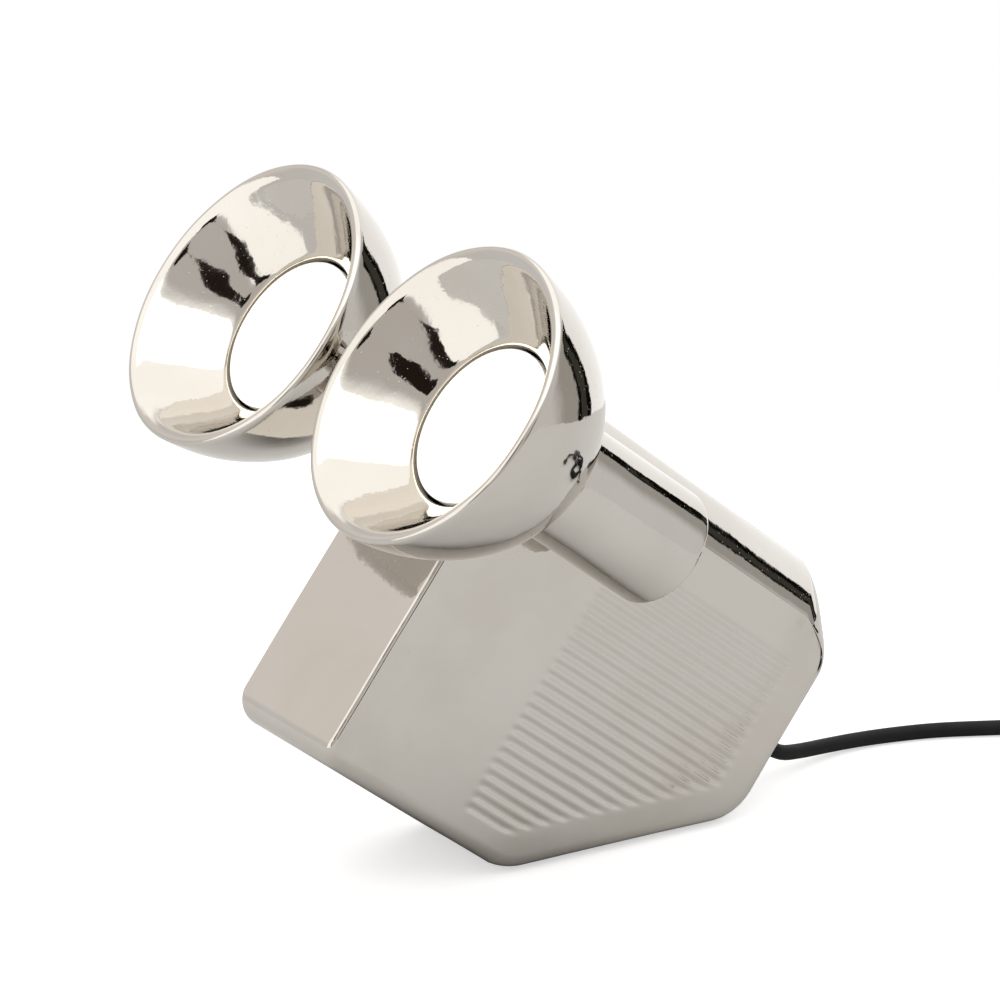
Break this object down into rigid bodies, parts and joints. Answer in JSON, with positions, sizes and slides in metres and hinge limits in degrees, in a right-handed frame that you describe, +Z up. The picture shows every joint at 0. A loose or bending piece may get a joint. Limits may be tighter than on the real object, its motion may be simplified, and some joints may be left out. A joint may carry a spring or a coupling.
{
  "type": "table lamp",
  "caption": "Tilted five-sided glazed case with ribbed sides carrying swivelling bowl-shaped lamp heads on a switched cord.",
  "frame": {"origin": "on the table, under the middle of the box round the case and heads, without the cord", "axes": "+Z up; the bowls face -X; the cord leaves towards +X; the two heads lie on the two sides along Y"},
  "size_m": [0.549, 0.3915, 0.3107],
  "materials": {
    "platinum_glaze": "mirror-like metallic platinum glaze, slightly wavy",
    "steel": "zinc plated",
    "black_steel": "black powder coat",
    "brass": "plain",
    "white_plastic": "moulded white",
    "opal": "opal diffuser, lit",
    "black_plastic": "moulded black",
    "black_rubber": "smooth black sheath",
    "clear_rubber": "clear bumper",
    "grey_fibre": "vulcanised fibre"
  },
  "bodies": {
    "base": {"ballast": "steel", "ballast_screw": "steel", "base_plate": "black_steel", "body_shell": "platinum_glaze", "bushing_nut": "steel", "case_lead_left": "black_plastic", "case_lead_right": "black_plastic", "clamp_bar_front": "steel", "clamp_bar_rear": "steel", "coil_tie": "black_plastic", "cord_bushing": "black_rubber", "cord_coil": "black_rubber", "cord_lead": "black_rubber", "cord_link": "black_rubber", "cord_tail": "black_rubber", "foot_1": "clear_rubber", "foot_2": "clear_rubber", "foot_3": "clear_rubber", "foot_4": "clear_rubber", "left_friction_washer": "grey_fibre", "plate_screw_front": "steel", "plate_screw_rear": "steel", "plug_body": "black_plastic", "plug_pin_1": "brass", "plug_pin_2": "brass", "right_friction_washer": "grey_fibre", "supply_lead": "black_plastic", "switch_base": "black_plastic", "switch_cover": "black_plastic", "terminal_block": "white_plastic"},
    "left_head": {"left_shade": "platinum_glaze", "left_housing": "platinum_glaze", "left_neck": "platinum_glaze", "left_neck_tube": "steel", "left_housing_nut": "steel", "left_body_nut": "steel", "left_head_bracket": "steel", "left_stem_tube": "steel", "left_stem_nut_front": "steel", "left_stem_nut_rear": "steel", "left_lampholder": "white_plastic", "left_head_lead": "black_plastic"},
    "left_lamp": {"left_lamp_body": "white_plastic", "left_diffuser": "opal"},
    "right_head": {"right_shade": "platinum_glaze", "right_housing": "platinum_glaze", "right_neck": "platinum_glaze", "right_neck_tube": "steel", "right_housing_nut": "steel", "right_body_nut": "steel", "right_head_bracket": "steel", "right_stem_tube": "steel", "right_stem_nut_front": "steel", "right_stem_nut_rear": "steel", "right_lampholder": "white_plastic", "right_head_lead": "black_plastic"},
    "right_lamp": {"right_lamp_body": "white_plastic", "right_diffuser": "opal"},
    "rocker": {"switch_rocker": "black_plastic"}
  },
  "joints": [
    {"name": "left_head_tilt", "type": "hinge", "parent": "base", "child": "left_head", "pos_m": [-0.01224, -0.07885, 0.18279], "axis": [0, 1, 0], "range_deg": [-30, 90]},
    {"name": "left_lamp_twist", "type": "hinge", "parent": "left_head", "child": "left_lamp", "pos_m": [-0.01224, -0.07885, 0.18279], "axis": [-0.8045, 0, 0.594], "range_deg": [0, 15]},
    {"name": "right_head_tilt", "type": "hinge", "parent": "base", "child": "right_head", "pos_m": [-0.01224, 0.07885, 0.18279], "axis": [0, 1, 0], "range_deg": [-30, 90]},
    {"name": "right_lamp_twist", "type": "hinge", "parent": "right_head", "child": "right_lamp", "pos_m": [-0.01224, 0.07885, 0.18279], "axis": [-0.8045, 0, 0.594], "range_deg": [0, 15]},
    {"name": "switch_rocker_tilt", "type": "hinge", "parent": "base", "child": "rocker", "pos_m": [0.3852, -0.1473, 0.0125], "axis": [1, 0, 0], "range_deg": [0, 16]}
  ]
}
